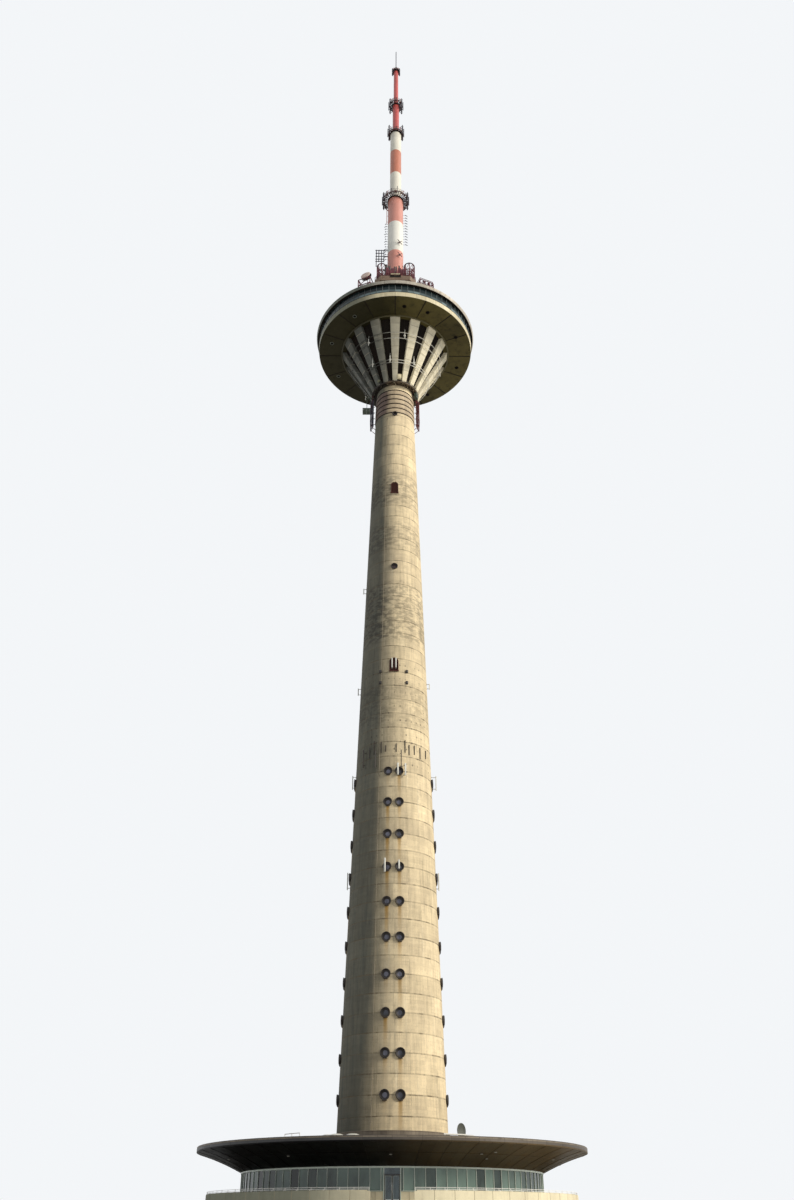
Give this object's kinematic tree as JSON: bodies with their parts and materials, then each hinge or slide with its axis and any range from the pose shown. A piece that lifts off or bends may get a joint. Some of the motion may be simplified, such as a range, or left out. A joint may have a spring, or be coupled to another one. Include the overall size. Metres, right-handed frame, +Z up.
{
  "type": "concrete television tower, 1:10 scale model",
  "caption": "Tall tapered concrete television tower: round glazed entrance hall on a podium, shaft with round windows, ribbed cone under a disc-shaped lookout head, stepped red and white mast.",
  "frame": {"origin": "centre of the base slab's underside at ground level, on the tower's axis", "axes": "+Z up; the entrance and its steps face -Y; +X is to the right of someone facing the entrance"},
  "size_m": [5.8798, 6.2534, 31.4],
  "materials": {
    "aerial_dark": "dark weathered plastic",
    "aerial_white": "white plastic",
    "cap_concrete": "concrete",
    "ceiling_board": "matt boards",
    "cone_dark": "dark brown",
    "deck_floor": "concrete slab",
    "deck_glass": "tinted",
    "deck_post_white": "white paint",
    "dish_green": "green-grey paint",
    "door_dark": "dark satin",
    "door_glass": "clear",
    "fascia_metal": "grey metal sheet",
    "floor_stone": "grey slabs",
    "frame_black": "dark weathered steel",
    "gallery_dark": "dark red-brown paint",
    "hall_glass": "tinted",
    "head_band_cream": "cream sheet panels",
    "head_roof": "grey membrane",
    "head_soffit_olive": "olive sheet, streaked",
    "ledge_olive": "olive",
    "mast_red": "faded red paint",
    "mast_white": "white paint",
    "mullion_metal": "anodised, pale green cast",
    "neck_brown": "red-brown primer",
    "needle_grey": "grey paint",
    "pane_glass": "grey",
    "platform_brown": "brown-grey paint",
    "podium_stone": "smooth cream render",
    "pull_steel": "brushed",
    "rail_white": "white paint",
    "rib_grey": "pale grey cast panels",
    "roof_edge_metal": "light grey sheet",
    "roof_sheet": "brown-grey sheet",
    "shaft_concrete": "board-marked concrete, weathered",
    "shutter_red": "dark red paint",
    "soffit_bronze": "dark bronze",
    "step_stone": "grey cast steps"
  },
  "bodies": {
    "tower": {"aerial_panels": "aerial_dark", "arch_shutters": "shutter_red", "base_slab": "floor_stone", "cone_foot_ring": "cone_dark", "cone_hoops": "rail_white", "cone_ledge": "ledge_olive", "cone_ribs": "rib_grey", "cone_wall": "cone_dark", "core_cap": "cap_concrete", "crown_cages": "gallery_dark", "crown_platform": "platform_brown", "deck_floor": "deck_floor", "deck_glass": "deck_glass", "deck_posts": "deck_post_white", "dish_stands": "gallery_dark", "door_head_bar": "door_dark", "entrance_steps": "step_stone", "hall_ceiling": "ceiling_board", "hall_dado": "podium_stone", "hall_glass": "hall_glass", "hall_head_rail": "mullion_metal", "hall_mullions": "mullion_metal", "head_band": "head_band_cream", "head_core": "shaft_concrete", "head_roof": "head_roof", "head_soffit": "head_soffit_olive", "mast_galleries": "gallery_dark", "mast_needle": "needle_grey", "mast_tubes_red": "mast_red", "mast_tubes_white": "mast_white", "neck_bands": "neck_brown", "neck_frames": "neck_brown", "neck_items": "dish_green", "parapet_wall": "podium_stone", "podium_wall": "podium_stone", "portal_posts": "mullion_metal", "porthole_frames": "frame_black", "porthole_panes": "pane_glass", "roof_dishes": "aerial_white", "roof_edge": "roof_edge_metal", "roof_fascia": "fascia_metal", "roof_skin": "roof_sheet", "roof_soffit": "soffit_bronze", "shaft_aerials": "aerial_white", "shaft_collar": "roof_sheet", "shaft_foot": "shaft_concrete", "shaft_lift_1": "shaft_concrete", "shaft_lift_2": "shaft_concrete", "shaft_lift_3": "shaft_concrete", "shaft_lift_4": "shaft_concrete", "shaft_lift_5": "shaft_concrete", "terrace_floor": "floor_stone", "terrace_railing": "rail_white", "transom_glass": "door_glass"},
    "left_door": {"door_leaf_left": "door_dark", "door_pane_left": "door_glass", "door_pull_left": "pull_steel"},
    "right_door": {"door_leaf_right": "door_dark", "door_pane_right": "door_glass", "door_pull_right": "pull_steel"}
  },
  "joints": [
    {"name": "left_door_hinge", "type": "hinge", "parent": "tower", "child": "left_door", "pos_m": [-0.0955, -2.2475, 0.5], "axis": [0, 0, -1], "range_deg": [0, 90]},
    {"name": "right_door_hinge", "type": "hinge", "parent": "tower", "child": "right_door", "pos_m": [0.0955, -2.2475, 0.5], "axis": [0, 0, 1], "range_deg": [0, 90]}
  ]
}
